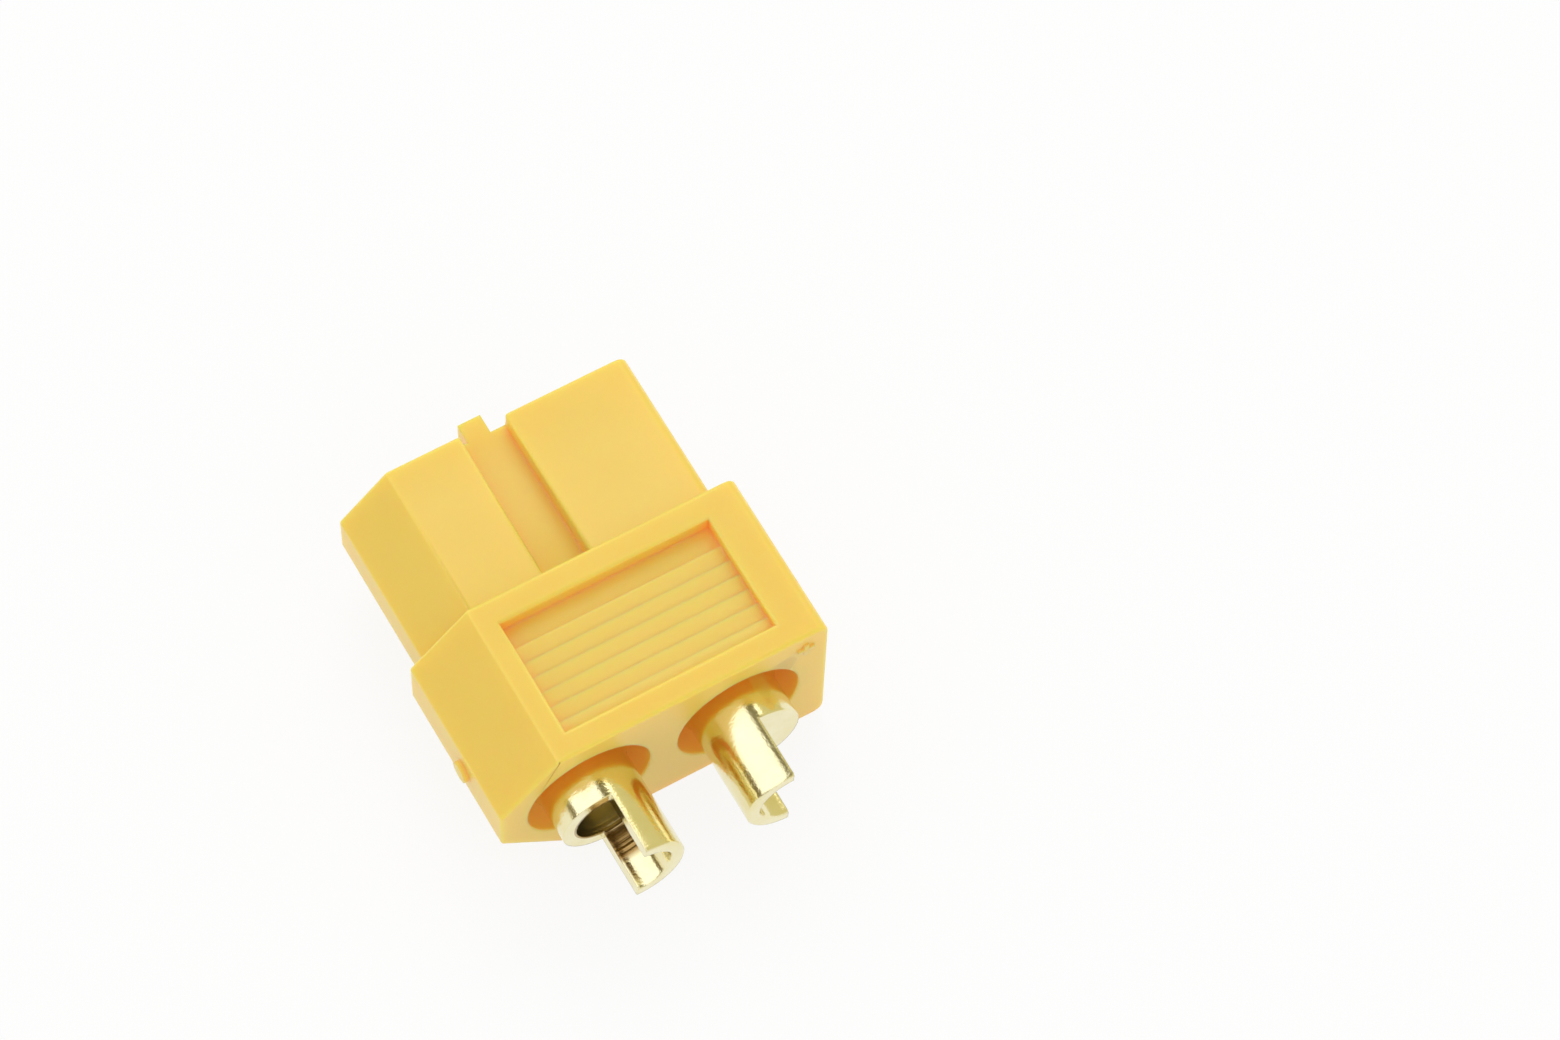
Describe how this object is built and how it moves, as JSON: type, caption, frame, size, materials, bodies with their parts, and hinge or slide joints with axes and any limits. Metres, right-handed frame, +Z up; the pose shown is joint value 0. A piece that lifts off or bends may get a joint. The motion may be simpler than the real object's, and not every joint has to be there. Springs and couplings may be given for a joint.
{
  "type": "two-pole power connector socket",
  "caption": "Two-pole power connector, socket half: chamfered moulded housing with a stepped nose, key groove, pressed-in socket contacts and rear solder cups.",
  "frame": {"origin": "under the middle of the bounding box, on the surface that the broad face lies on", "axes": "+X across the two poles towards the square end, +Y towards the mating end, +Z up from the broad face that it lies on"},
  "size_m": [0.016, 0.0212, 0.0081],
  "materials": {
    "housing_nylon": "moulded, satin",
    "contact_gold": "gold plated, polished"
  },
  "bodies": {
    "root": {"housing": "housing_nylon", "chamfered_end_contact": "contact_gold", "square_end_contact": "contact_gold"}
  },
  "joints": []
}
